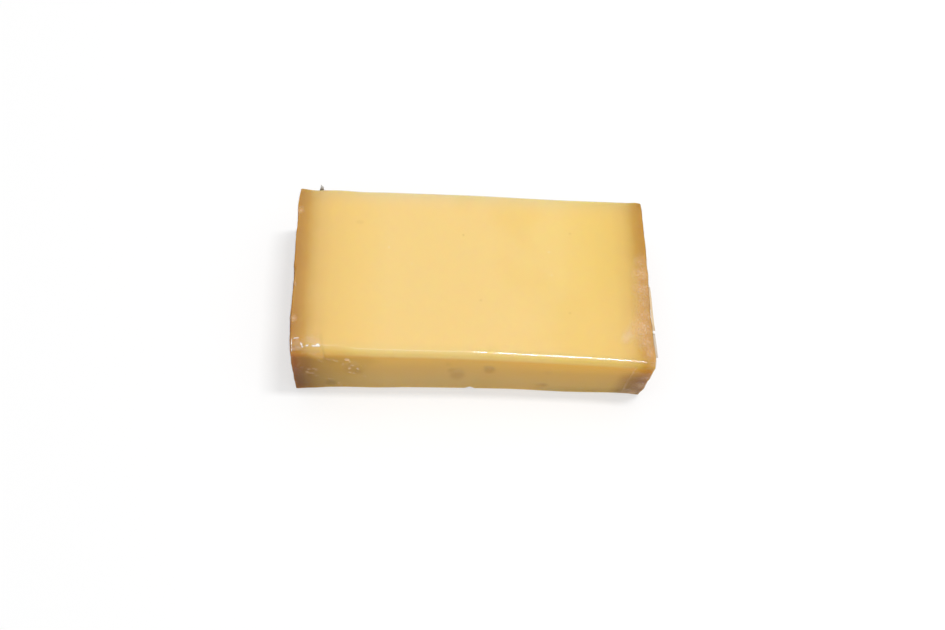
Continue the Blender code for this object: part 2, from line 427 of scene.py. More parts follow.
# Small marks on the top, in mm: (x, y, reach along X, reach along Y)
BROWN_DOTS = (
    (-3.5, 14.5, 0.45, 0.45),
    (31.7, 16.7, 0.5, 0.35),
    (1.8, -9.1, 0.45, 0.40),
    (30.2, -12.5, 0.5, 0.35),
)
PALE_DOTS = (
    (-20.2, 3.2, 0.30, 0.45),
    (24.9, 0.9, 0.40, 0.35),
    (24.4, 9.4, 0.45, 0.40),
    (-27.5, 8.9, 0.30, 0.60),
)
SMUDGE = (-37.0, 17.8, 1.7, 1.1)

# Camera, from the photo's outline, with its angles in degrees and its lens in mm
CAMERA_AIM = Vector((1.37, -1.38, 0.0)) * MM
CAMERA_DISTANCE = 390.3 * MM
CAMERA_AZIMUTH = -10.0
CAMERA_ELEVATION = 63.2
CAMERA_ROLL = 10.27
CAMERA_LENS = 43.81
SENSOR_WIDTH = 36.0
NEAREST_SHOWN = 10.0 * MM

# Lamps: (name, place, size, power in watts)
LIGHTS = (
    ("lamp", (0.405, 0.12, 1.5), (0.41, 0.143), 11.2),
    ("far_lamp", (0.07, 0.12, 1.5), (0.26, 0.16), 0.56),
)

# The soft light round the scene, where a height of 1 is straight above: its strength is a part that is
# the same all over, and one that grows with a power of the height, from the height up to which it is even
WORLD_ALL_OVER = 0.08
WORLD_GROWING = 1.3
WORLD_POWER = 3.0
WORLD_EVEN_UP_TO = 0.5

# How bright red, green and blue the lights make a white level surface, as shares of screen white, and
# what the film's own gloss adds
LIGHT_ON_TOP = (1.032, 1.006, 0.972)
GLOSS_ADDS = 0.019

# A wide pale floor, which glows faintly so that the shadow on it stays light
FLOOR_REACH = 4.0
FLOOR_GREY = (0.42, 0.42, 0.42, 1.0)
FLOOR_ROUGHNESS = 0.8
FLOOR_GLOSS = 0.2
FLOOR_GLOW = 0.56


def ease(share):
    """0 up to share 0 and 1 from share 1 on, with a smooth rise between."""
    t = np.clip(share, 0.0, 1.0)
    return t * t * (3.0 - 2.0 * t)


def rise(value, low, high):
    """0 at low, 1 at high, smooth between; low may be above high."""
    return ease((value - low) / (high - low))


def fall(distance, width):
    """1 at the edge, 0 from width inwards, flat there."""
    return np.clip(1.0 - distance / width, 0.0, 1.0) ** 2


def lattice_lines(half, radius, fine, shift=0.0):
    """Places of the lattice's planes along one axis: a fan over each edge, and finer stretches between."""
    flat = half - radius
    inner = [-flat]
    while inner[-1] < flat:
        step = min([SPACING] + [spacing for low, high, spacing in fine if low <= inner[-1] + shift < high])
        inner.append(inner[-1] + step)
    inner = np.interp(inner, (inner[0], inner[-1]), (-flat, flat))
    fan = flat + radius * np.tan(np.radians(TURN_DEGREES))
    return np.concatenate([-fan[::-1], inner, fan])


def lattice_shell(lines):
    """The points and quads of the outside of a lattice, each quad facing out."""
    counts = [len(line) for line in lines]
    strides = (counts[1] * counts[2], counts[2], 1)
    quads = []
    for axis in range(3):
        across, along = (axis + 1) % 3, (axis + 2) % 3
        i, j = np.meshgrid(np.arange(counts[across] - 1), np.arange(counts[along] - 1), indexing="ij")
        for side in (0, counts[axis] - 1):
            first = side * strides[axis] + i * strides[across] + j * strides[along]
            step_i, step_j = strides[across], strides[along]
            ring = [first, first + step_i, first + step_i + step_j, first + step_j]
            if side == 0:
                ring.reverse()
            quads.append(np.stack(ring, axis=-1).reshape(-1, 4))
    quads = np.concatenate(quads)
    used, quads = np.unique(quads, return_inverse=True)
    places = np.stack(np.unravel_index(used, counts), axis=1)
    points = np.stack([lines[axis][places[:, axis]] for axis in range(3)], axis=1)
    return points, quads.reshape(-1, 4)


def round_edges(points, half):
    """Moves the points of a sharp box's shell onto the same box with rounded edges and corners."""
    x, y, z = points.T
    soft = rise(x, SOFT_EDGE_FROM, SOFT_EDGE_FULL) * (y < 0) * (z > 0)
    crisp = ease((np.abs(x) - half[0] + CORNER_REACH) / CORNER_REACH) * (1 - soft)
    softer = soft * (SOFT_EDGE_RADIUS - EDGE_RADII[1])
    crisper = crisp * (CORNER_RADIUS - EDGE_RADII[1])
    radii = np.tile(EDGE_RADII, (len(points), 1))
    radii[:, 1:] += (softer + crisper)[:, None]
    flat = half - EDGE_RADII
    away = np.abs(points)
    out = np.clip((away - flat) / EDGE_RADII, 0.0, 1.0)
    inner = np.minimum(away / flat, 1.0) * (half - radii)
    along, around = out[:, 0], np.hypot(out[:, 1], out[:, 2])
    reach = (along**END_CRISPNESS + around**END_CRISPNESS) ** (1 / END_CRISPNESS)
    return np.sign(points) * (inner + radii * out / reach[:, None])


def waves(points, size, pattern):
    """Smooth noise between about -1 and 1 whose bumps are size apart, one pattern for each number."""
    shift = pattern * NOISE_STEP
    return np.array([noise.noise(Vector(point) / size + shift) for point in points])


def oval(across, up, x, z, width, height):
    """1 in the middle of an oval, falling smoothly to 0 at its edge."""
    reach = np.hypot((across - x) / (width / 2), (up - z) / (height / 2))
    return np.cos(np.clip(reach, 0.0, 1.0) * np.pi / 2) ** 2


def hollows(across, up, ovals):
    """How deep the oval hollows of a side are at each point."""
    return sum(depth * oval(across, up, x, z, width, height) for x, z, width, height, depth in ovals)


def slab_form(points, half):
    """The true, uneven slab: each point of the rounded box moved to where it is on the film."""
    x, y, z = (points + (0.0, 0.0, half[2])).T
    u, v, w = x / half[0], y / half[1], z / HEIGHT
    on_left, on_right = ease((END_ZONE - 1 - u) / END_ZONE), ease((END_ZONE - 1 + u) / END_ZONE)
    on_front, on_back = ease(-v), ease(v)

    wave = CUT_WAVE_HEIGHT * waves(points, CUT_WAVE_SIZE, CUT_WAVE_PATTERN)
    lean = np.where(u < 0, -LEAN_BACK_LEFT, LEAN_OUT_RIGHT) * u * u * w
    chip = CHIP_DEPTH * fall(np.hypot((x - CHIP_X) / CHIP_HALF_WIDTH, z / CHIP_HEIGHT), 1.0)
    front_in = FRONT_HOLLOW * (1 - u * u) - lean + hollows(x, z, FRONT_HOLLOWS) + chip + wave
    back_in = BACK_HOLLOW * (1 - u * u) + hollows(x, z, BACK_HOLLOWS) + wave
    new_y = y + on_front * front_in - on_back * back_in

    crags = np.zeros_like(x)
    for pattern, (size, height) in enumerate(zip(CRAG_SIZES, CRAG_HEIGHTS), start=CRAG_PATTERN):
        crags += height * waves(points, size, pattern)
    half_way_up = 4 * w * (1 - w)
    bulge = END_BULGE_AT_TOP + (END_BULGE_HALF_WAY_UP - END_BULGE_AT_TOP) * half_way_up
    bulge *= 1 - v * v
    rind = crags - FOOT_IN * (1 - w) ** 2
    new_x = x - on_left * (bulge + rind) + on_right * (RIGHT_END_BULGE_SHARE * bulge + rind)

    drop = FRONT_FALL * fall(y + half[1], FRONT_FALL_WIDTH)
    drop += BACK_FALL * fall(half[1] - y, BACK_FALL_WIDTH)
    drop += END_FALL * fall(half[0] - np.abs(x), END_FALL_WIDTH)
    drop += WORN_CORNER_DEPTH * fall(np.hypot(x - half[0], y - half[1]), WORN_CORNER_REACH)
    new_z = z * (1 - THINNING * u) - (drop - wave) * w**2

    new_points = np.stack([new_x, new_y, new_z], axis=1)
    middle = (new_points.min(axis=0) + new_points.max(axis=0)) / 2
    new_points -= (middle[0], middle[1], 0.0)

    for end, swell_y, swell_z, reach_y, reach_z, height in RIND_SWELLS:
        on_end = on_left if end < 0 else on_right
        away = np.hypot((y - swell_y) / reach_y, (z - swell_z) / reach_z)
        new_points[:, 0] += end * height * on_end * (1 - ease(away))
    for swell_x, reach, height in FOOT_SWELLS:
        new_points[:, 1] -= height * on_front * (1 - ease(np.abs(x - swell_x) / reach)) * (1 - w)
    for swell_x, reach, height in BACK_SWELLS:
        new_points[:, 1] += height * on_back * (1 - ease(np.abs(x - swell_x) / reach)) * w
    return new_points


def make_mesh(name, points, quads, marks):
    """A smooth mesh object with one named float attribute for each mark."""
    mesh = bpy.data.meshes.new(name)
    mesh.from_pydata(points.tolist(), [], quads.tolist())
    mesh.shade_smooth()
    for mark, values in marks.items():
        attribute = mesh.attributes.new(mark, "FLOAT", "POINT")
        attribute.data.foreach_set("value", values.astype(np.float32))
    piece = bpy.data.objects.new(name, mesh)
    bpy.context.scene.collection.objects.link(piece)
    return piece


def outward(points, quads):
    """Smooth outward directions of a closed quad mesh at its points."""
    corners = points[quads]
    faces = np.cross(corners[:, 2] - corners[:, 0], corners[:, 3] - corners[:, 1])
    normals = np.zeros_like(points)
    for corner in range(4):
        np.add.at(normals, quads[:, corner], faces)
    return normals / np.linalg.norm(normals, axis=1, keepdims=True)


class Shader:
    """Builds a material's nodes with few words. A mark that a mesh doesn't have counts as 0."""

    def __init__(self, name):
        self.material = bpy.data.materials.new(name)
        self.material.use_nodes = True
        self.nodes = self.material.node_tree.nodes
        self.links = self.material.node_tree.links
        self.nodes.clear()

    def node(self, kind, settings=None, **inputs):
        made = self.nodes.new(kind)
        for key, value in (settings or {}).items():
            setattr(made, key, value)
        for key, value in inputs.items():
            self.set(made.inputs[key.replace("_", " ")], value)
        return made

    def set(self, socket, value):
        if isinstance(value, bpy.types.NodeSocket):
            self.links.new(value, socket)
        else:
            socket.default_value = value

    def math(self, operation, first, second=0.0, third=0.0, clamp=False):
        made = self.nodes.new("ShaderNodeMath")
        made.operation = operation
        made.use_clamp = clamp
        for socket, value in zip(made.inputs, (first, second, third)):
            self.set(socket, value)
        return made.outputs[0]

    def squared(self, value, middle, reach):
        """How far value is from middle, as a share of reach, squared."""
        return self.math("POWER", self.math("DIVIDE", self.math("SUBTRACT", value, middle), reach), 2.0)

    def rise(self, value, low, high):
        """0 at low, 1 at high, smooth between; low may be above high."""
        made = self.node("ShaderNodeMapRange", {"interpolation_type": "SMOOTHSTEP"})
        for key, number in (("Value", value), ("From Min", low), ("From Max", high)):
            self.set(made.inputs[key], number)
        return made.outputs[0]

    def mix(self, share, first, second, how="MIX"):
        made = self.node("ShaderNodeMix", {"data_type": "RGBA", "blend_type": how})
        for place, value in ((0, share), (6, first), (7, second)):
            self.set(made.inputs[place], value)
        return made.outputs[2]

    def blend(self, share, first, second):
        """A surface made of two, with this share of the second."""
        made = self.node("ShaderNodeMixShader", Fac=share)
        self.links.new(first, made.inputs[1])
        self.links.new(second, made.inputs[2])
        return made.outputs[0]

    def noise(self, place, size, detail=2.0, roughness=0.5, warp=0.0):
        """Noise from 0 to 1 with lumps of about this size, in metres."""
        made = self.node("ShaderNodeTexNoise", Vector=place, Detail=detail, Roughness=roughness)
        made.inputs["Scale"].default_value = 1.0 / size
        made.inputs["Distortion"].default_value = warp
        return made.outputs[0]

    def mark(self, name):
        return self.node("ShaderNodeAttribute", {"attribute_name": name}).outputs["Fac"]

    def ramp(self, value, stops):
        made = self.node("ShaderNodeValToRGB", Fac=value)
        elements = made.color_ramp.elements
        while len(elements) < len(stops):
            elements.new(0.5)
        for element, (place, colour) in zip(elements, stops):
            element.position = place
            element.color = colour
        return made.outputs["Color"]


def srgb(red, green, blue):
    """The surface colour that shows as this screen colour of 0 to 255 on the lit top."""
    shares = [share / 255 for share in (red, green, blue)]
    linear = [((share + 0.055) / 1.055) ** 2.4 - GLOSS_ADDS for share in shares]
    return (*[share / lit for share, lit in zip(linear, LIGHT_ON_TOP)], 1.0)


# Paste from the rind inwards: (depth, colour)
BROWNING = (
    (0.0 * MM, srgb(186, 130, 62)),
    (1.0 * MM, srgb(194, 144, 75)),
    (2.2 * MM, srgb(197, 150, 77)),
    (4.0 * MM, srgb(209, 162, 82)),
    (6.0 * MM, srgb(223, 182, 103)),
    (8.0 * MM, srgb(233, 193, 115)),
    (12.0 * MM, srgb(241, 203, 121)),
    (20.0 * MM, srgb(246, 209, 127)),
    (30.0 * MM, srgb(248, 213, 136)),
)
BROWNING_REACH = 30.0 * MM

# The ends stand out past half the length by about this. The browning wanders in and out by noise,
# and goes deeper under the painted shade at the front's left end
END_OUT = 0.3 * MM
BROWNING_WANDER_SIZE = 8.0 * MM
BROWNING_WANDER = 2.0 * MM
BROWNING_UNDER_PAINTED_SHADE = 2.0 * MM

# Warmer patches of the paste, more of them towards the right
PASTE_WARM = srgb(245, 208, 122)
WARM_PATCH_SIZE = 35.0 * MM
WARM_TO_THE_RIGHT = 3.0
WARM_FROM = (0.50, 0.72)
WARM_SHARE = 0.7

# Painted shade: the long sides are darker than the top, most of all at their foot: (share of the height,
# factor)
SIDE_PAINTED_SHADE = (
    (0.00, (0.76, 0.66, 0.52, 1.0)),
    (0.25, (0.78, 0.67, 0.50, 1.0)),
    (0.57, (0.88, 0.685, 0.40, 1.0)),
    (0.75, (0.96, 0.745, 0.36, 1.0)),
    (0.95, (1.06, 0.83, 0.34, 1.0)),
)

# How that painted shade changes along the side: (x, factor)
SIDE_SHADE_ALONG = (
    (-42.0 * MM, (1.0, 1.0, 1.0, 1.0)),
    (-34.0 * MM, (0.95, 0.97, 0.97, 1.0)),
    (2.0 * MM, (0.95, 0.97, 0.97, 1.0)),
    (14.0 * MM, (1.0, 1.0, 1.0, 1.0)),
)

# How the painted shade changes in places: (from x, to x, from z, to z, factor)
SIDE_SHADE_PATCHES = (
    (-51.0 * MM, -55.5 * MM, 14.0 * MM, 18.5 * MM, (1.19, 1.14, 0.62, 1.0)),
    (14.0 * MM, 26.0 * MM, 15.0 * MM, 20.0 * MM, (1.06, 1.05, 0.92, 1.0)),
    (18.0 * MM, 28.0 * MM, 7.0 * MM, 2.0 * MM, (0.82, 0.88, 0.96, 1.0)),
)

# Tones that multiply the paste's colour where their mark is: a golden tone, painted shade at the front's
# left and right ends, and painted reflection along the top's back and front edges
GOLDEN_TONE = (0.985, 0.995, 0.85, 1.0)
LEFT_PAINTED_SHADE = (0.64, 0.66, 0.45, 1.0)
RIGHT_PAINTED_SHADE = (0.60, 0.555, 0.42, 1.0)
BACK_PAINTED_REFLECTION = (0.84, 0.93, 1.45, 1.0)
FRONT_PAINTED_REFLECTION = (0.87, 0.93, 1.04, 1.0)

# The line where paste turns into rind, with its tones low down and at the right end, and the heights
# and places along X where those tones begin and are complete
RIND_LINE = srgb(190, 126, 48)
RIND_LINE_LOW = srgb(128, 98, 64)
RIND_LINE_RIGHT = srgb(168, 114, 62)
LINE_LOW_FROM = (1.03 * HEIGHT, 0.8 * HEIGHT)
LINE_RIGHT_FROM = (0.0, 50.0 * MM)

# The rind's own colours
RIND_DARK = srgb(132, 88, 48)
RIND_MID = srgb(172, 124, 72)
RIND_PALE = srgb(208, 172, 128)

# Mottling of the rind over its dark colour, layer by layer: (lump size, detail, roughness, warp,
# noise at which it begins, noise at which it is complete, share, colour)
RIND_LAYERS = (
    (3.2 * MM, 5.0, 0.65, 0.0, 0.36, 0.60, 1.0, RIND_MID),
    (8.0 * MM, 5.0, 0.70, 0.6, 0.50, 0.70, 1.0, RIND_PALE),
    (0.9 * MM, 3.0, 0.70, 0.0, 0.46, 0.34, 0.5, RIND_DARK),
)

# Bloom on the paste, and the fine noise that breaks it up
BLOOM = srgb(230, 186, 128)
BLOOM_GRAIN_SIZE = 1.4 * MM
BLOOM_FROM = (0.30, 0.72)
BLOOM_SHARE = 0.35

# The paste made pale where air is trapped under the film, a painted reflection of the lifted film,
# and the painted shade of an eye
AIR_PAINTED_REFLECTION = (1.0, 0.72, 0.42, 1.0)
EYE_PAINTED_SHADE = srgb(168, 126, 66)
EYE_SHADE_SHARE = 0.22

# Small marks on the top: the heights where they begin and are complete, the squared shares of their
# reach where they begin and are full, and how strong they are
MARKS_FROM = (0.8 * HEIGHT, 0.85 * HEIGHT)
DOT_EDGE = (1.0, 0.1)
BROWN_DOT = srgb(178, 128, 50)
PALE_DOT = srgb(255, 244, 214)
DOT_SHARE = 0.25
SMUDGE_SHARE = 0.08

# The paste is dull under its film, and lets light a little way in
PASTE_ROUGHNESS = 0.55
LIGHT_INSIDE_SHARE = 0.7
LIGHT_INSIDE_REACH = 7.0 * MM
LIGHT_INSIDE_BY_COLOUR = (1.0, 0.7, 0.2)


def cheese_material():
    shader = Shader("comte_paste_and_rind")
    place = shader.node("ShaderNodeTexCoord").outputs["Object"]
    axes = shader.node("ShaderNodeSeparateXYZ", Vector=place)
    x, y, z = (axes.outputs[axis] for axis in "XYZ")

    wander = shader.math("SUBTRACT", shader.noise(place, BROWNING_WANDER_SIZE, 3.0), 0.5)
    wander = shader.math("MULTIPLY", wander, BROWNING_WANDER)
    from_end = shader.math("SUBTRACT", LENGTH / 2 + END_OUT, shader.math("ABSOLUTE", x))
    # Painted shade at the front's left end draws the browning further in
    in_painted_shade = shader.math("MULTIPLY", shader.mark("left_painted_shade"), BROWNING_UNDER_PAINTED_SHADE)
    from_end = shader.math("SUBTRACT", from_end, in_painted_shade)
    depth = shader.math("DIVIDE", shader.math("ADD", from_end, wander), BROWNING_REACH)
    paste = shader.ramp(depth, [(reach / BROWNING_REACH, colour) for reach, colour in BROWNING])
    warm = shader.math("MULTIPLY", x, WARM_TO_THE_RIGHT)
    warm = shader.math("ADD", shader.noise(place, WARM_PATCH_SIZE), warm)
    warm = shader.math("MULTIPLY", shader.rise(warm, *WARM_FROM), WARM_SHARE)
    paste = shader.mix(warm, paste, PASTE_WARM, "DARKEN")

    # Painted shade of the long sides, darkest at their foot
    side_shade = shader.ramp(shader.math("DIVIDE", z, HEIGHT), SIDE_PAINTED_SHADE)
    along = shader.math("MULTIPLY_ADD", x, 1 / LENGTH, 0.5)
    along_shade = shader.ramp(along, [(stop / LENGTH + 0.5, tone) for stop, tone in SIDE_SHADE_ALONG])
    side_shade = shader.mix(1.0, side_shade, along_shade, "MULTIPLY")
    for from_x, to_x, from_z, to_z, tone in SIDE_SHADE_PATCHES:
        there = shader.math("MULTIPLY", shader.rise(x, from_x, to_x), shader.rise(z, from_z, to_z))
        side_shade = shader.mix(there, side_shade, tone, "MULTIPLY")
    # Several of these tones paint shade on the sides and reflection along the top's edges
    for mark, tone in (
        ("side", side_shade),
        ("left_painted_shade", LEFT_PAINTED_SHADE),
        ("painted_shade_right", RIGHT_PAINTED_SHADE),
        ("back", BACK_PAINTED_REFLECTION),
        ("rim", FRONT_PAINTED_REFLECTION),
        ("golden", GOLDEN_TONE),
    ):
        paste = shader.mix(shader.mark(mark), paste, tone, "MULTIPLY")

    rind = RIND_DARK
    for size, detail, roughness, warp, low, high, share, tone in RIND_LAYERS:
        there = shader.rise(shader.noise(place, size, detail, roughness, warp), low, high)
        rind = shader.mix(shader.math("MULTIPLY", there, share), rind, tone)
    line = shader.mix(shader.rise(x, *LINE_RIGHT_FROM), RIND_LINE, RIND_LINE_RIGHT)
    line = shader.mix(shader.rise(z, *LINE_LOW_FROM), line, RIND_LINE_LOW)
    colour = shader.mix(shader.mark("rind_line"), paste, line)
    colour = shader.mix(shader.mark("rind"), colour, rind)

    # Painted reflection: paler paste where air is trapped under the film
    colour = shader.mix(shader.mark("air"), colour, AIR_PAINTED_REFLECTION)
    grain = shader.noise(place, BLOOM_GRAIN_SIZE, 5.0, 0.8)
    bloom = shader.math("MULTIPLY", shader.mark("bloom"), shader.rise(grain, *BLOOM_FROM))
    colour = shader.mix(shader.math("MULTIPLY", bloom, BLOOM_SHARE, clamp=True), colour, BLOOM)
    # Painted shade in the eyes
    colour = shader.mix(shader.math("MULTIPLY", shader.mark("eye_shade"), EYE_SHADE_SHARE), colour, EYE_PAINTED_SHADE, "MULTIPLY")

    on_top = shader.rise(z, *MARKS_FROM)
    for dots, share, tone in (
        (BROWN_DOTS, DOT_SHARE, BROWN_DOT),
        (PALE_DOTS, DOT_SHARE, PALE_DOT),
        ((SMUDGE,), SMUDGE_SHARE, BROWN_DOT),
    ):
        for dot_x, dot_y, reach_x, reach_y in dots:
            away_x = shader.squared(x, dot_x * MM, reach_x * MM)
            away_y = shader.squared(y, dot_y * MM, reach_y * MM)
            dot = shader.rise(shader.math("ADD", away_x, away_y), *DOT_EDGE)
            dot = shader.math("MULTIPLY", dot, on_top)
            colour = shader.mix(shader.math("MULTIPLY", dot, share), colour, tone)

    finish = shader.node(
        "ShaderNodeBsdfPrincipled",
        Base_Color=colour,
        Roughness=PASTE_ROUGHNESS,
        Subsurface_Weight=LIGHT_INSIDE_SHARE,
        Subsurface_Scale=LIGHT_INSIDE_REACH,
        Subsurface_Radius=LIGHT_INSIDE_BY_COLOUR,
        Specular_IOR_Level=0.0,
    )
    shader.node("ShaderNodeOutputMaterial", Surface=finish.outputs[0])
    return shader.material


# The film's gloss: its strength face on and what it has more at a slant, its roughness and its tint
FILM_GLOSS = 0.04
SLANT_GLOSS = 0.08
SLANT_FROM = (0.5, 1.0)
FILM_ROUGHNESS = 0.02
GLOSS_TINT = (0.60, 0.71, 1.0, 1.0)

# Haze over creases and trapped air, in streaks
HAZE = (1.0, 0.72, 0.44, 1.0)
HAZE_ROUGHNESS = 0.4
STREAK_SIZE = 1.6 * MM
STREAKS_FROM = (0.2, 0.45)

# Bloom against the film: a thin even cover, and speckles on it, which are weaker by this share between
# their clusters. The tone turns sandy faster than the cover grows
SANDY = (1.0, 0.72, 0.44, 1.0)
SANDY_COVER = 0.20
SPECKLE_COVER = 0.30
SPECKLE_SIZE = 0.6 * MM
SPECKLES_FROM = (0.51, 0.59)
CLUSTER_SIZE = 2.4 * MM
CLUSTERS_FROM = (0.35, 0.60)
BETWEEN_CLUSTERS = 0.5
SANDY_TINT_GAIN = 10.0

# Film that can't be seen through: white, and towards cream or grey by its marks. The white also paints
# glints and pale light on the film, and the grey paints shade
WHITE_AND_PAINTED_LIGHT = (1.0, 0.96, 0.90, 1.0)
CREAM = (0.84, 0.64, 0.39, 1.0)
GREY_PAINTED_SHADE = (0.13, 0.11, 0.09, 1.0)


def film_material():
    shader = Shader("clear_film")
    clear = shader.node("ShaderNodeBsdfTransparent").outputs[0]
    gloss = shader.node("ShaderNodeBsdfGlossy", Color=GLOSS_TINT, Roughness=FILM_ROUGHNESS).outputs[0]
    facing = shader.node("ShaderNodeLayerWeight", Blend=0.5).outputs["Facing"]
    shine = shader.math("MULTIPLY_ADD", shader.rise(facing, *SLANT_FROM), SLANT_GLOSS, FILM_GLOSS)
    shine = shader.math("MULTIPLY", shine, shader.mark("gloss"), clamp=True)
    film = shader.blend(shine, clear, gloss)

    place = shader.node("ShaderNodeTexCoord").outputs["Object"]
    streaks = shader.rise(shader.noise(place, STREAK_SIZE, 3.0, 0.7), *STREAKS_FROM)
    haze = shader.node("ShaderNodeBsdfGlossy", Color=HAZE, Roughness=HAZE_ROUGHNESS).outputs[0]
    film = shader.blend(shader.math("MULTIPLY", shader.mark("haze"), streaks), film, haze)

    speckles = shader.rise(shader.noise(place, SPECKLE_SIZE, 1.0), *SPECKLES_FROM)
    clusters = shader.rise(shader.noise(place, CLUSTER_SIZE), *CLUSTERS_FROM)
    clusters = shader.math("MULTIPLY_ADD", clusters, 1 - BETWEEN_CLUSTERS, BETWEEN_CLUSTERS)
    speckles = shader.math("MULTIPLY", speckles, clusters)
    sandy = shader.math("MULTIPLY_ADD", speckles, SPECKLE_COVER, SANDY_COVER)
    sandy = shader.math("MULTIPLY", shader.mark("bloom"), sandy)
    tone = shader.mix(shader.mark("cream"), WHITE_AND_PAINTED_LIGHT, CREAM)
    tone = shader.mix(shader.mark("grey"), tone, GREY_PAINTED_SHADE)
    tone = shader.mix(shader.math("MULTIPLY", sandy, SANDY_TINT_GAIN, clamp=True), tone, SANDY)
    # Opaque film, which also paints the glints, the pale light and the grey shade
    opaque_and_painted = shader.node("ShaderNodeBsdfDiffuse", Color=tone).outputs[0]
    cover = shader.math("ADD", shader.mark("opaque_and_painted"), sandy, clamp=True)
    shader.node("ShaderNodeOutputMaterial", Surface=shader.blend(cover, film, opaque_and_painted))
    return shader.material


def floor_material():
    shader = Shader("pale_floor")
    finish = shader.node(
        "ShaderNodeBsdfPrincipled",
        Base_Color=FLOOR_GREY,
        Roughness=FLOOR_ROUGHNESS,
        Specular_IOR_Level=FLOOR_GLOSS,
        Emission_Color=(1.0, 1.0, 1.0, 1.0),
        Emission_Strength=FLOOR_GLOW,
    )
    shader.node("ShaderNodeOutputMaterial", Surface=finish.outputs[0])
    return shader.material


def near_path(points, path):
    """Distance of each point from a path of straight stretches, given in mm."""
    nearest = np.full(len(points), np.inf)
    path = np.array(path) * MM
    for start, end in zip(path[:-1], path[1:]):
        along = end - start
        share = np.clip((points - start) @ along / (along @ along), 0.0, 1.0)
        nearest = np.minimum(nearest, np.linalg.norm(points - start - share[:, None] * along, axis=1))
    return nearest


def ridge(points, path, half_width):
    """1 along a path, falling off softly to both sides; path and half width are in mm."""
    return np.exp(-((near_path(points, path) / (half_width * MM)) ** 2))


def spot(across, up, x, z, width, height):
    """1 over the inner half of an oval's reach, falling to 0 at its edge."""
    return 1 - rise(np.hypot((across - x) / (width / 2), (up - z) / (height / 2)), 0.5, 1.0)


def side_spots(on_side, across, up, spots):
    """The strongest of a side's ovals at each point, each (x, z, width, height, strength), in mm."""
    values = np.zeros(len(on_side))
    for *oval_in_mm, strength in spots:
        there = spot(across, up, *(np.array(oval_in_mm) * MM))
        values = np.maximum(values, strength * on_side * there)
    return values


def strongest(points, spots):
    """The strongest of soft round spots at each point, each (x, y, z, reach, strength), in mm."""
    values = np.zeros(len(points))
    for *middle, reach, strength in spots:
        away = np.linalg.norm(points - np.array(middle) * MM, axis=1)
        values = np.maximum(values, strength * (1 - ease(away / (reach * MM))))
    return values


class Slab:
    """The tight film's surface, where its points are on the even box, and which side each belongs to."""

    def __init__(self):
        self.half = np.array([LENGTH, WIDTH, HEIGHT]) / 2
        lines = [
            lattice_lines(self.half[0], EDGE_RADII[0], FINE_X),
            lattice_lines(self.half[1], EDGE_RADII[1], FINE_Y),
            lattice_lines(self.half[2], EDGE_RADII[2], FINE_Z, shift=self.half[2]),
        ]
        box_points, self.quads = lattice_shell(lines)
        box_points = round_edges(box_points, self.half)
        self.box_x, self.box_y, self.box_z = (box_points + (0.0, 0.0, self.half[2])).T
        self.points = slab_form(box_points, self.half)
        self.out = outward(self.points, self.quads)
        facing_end = np.abs(self.out[:, 0])
        self.on_end = rise(facing_end, *FACES_END)
        self.rind_line = rise(facing_end, *FACES_RIND_LINE) * (1 - self.on_end)
        self.on_front = rise(-self.out[:, 1], *FACES_FRONT_OR_BACK)
        self.on_back = rise(self.out[:, 1], *FACES_FRONT_OR_BACK)
        self.on_top = rise(self.out[:, 2], *FACES_UP)
        self.air = side_spots(self.on_front, self.points[:, 0], self.points[:, 2], AIR_SPOTS)
        self.bloom = strongest(self.points, BLOOM_SPOTS)


def film_gap(slab):
    """How far the cheese lies below the tight film."""
    x, z = slab.box_x, slab.box_z
    grain = np.zeros(len(slab.points))
    rind_grain = zip(RIND_GRAIN_SIZES, RIND_GRAIN_HEIGHTS)
    for pattern, (size, height) in enumerate(rind_grain, start=RIND_GRAIN_PATTERN):
        grain += height * waves(slab.points, size, pattern)
    paste_grain = PASTE_GRAIN_HEIGHT * waves(slab.points, PASTE_GRAIN_SIZE, PASTE_GRAIN_PATTERN)
    depth = slab.on_front * hollows(x, z, FRONT_HOLLOWS) + slab.on_back * hollows(x, z, BACK_HOLLOWS)
    gap = FILM_GAP + PASTE_GRAIN_HEIGHT - paste_grain * (1 - slab.on_end)
    return gap + FILM_SPANS * depth + slab.on_end * (RIND_GAP - grain)


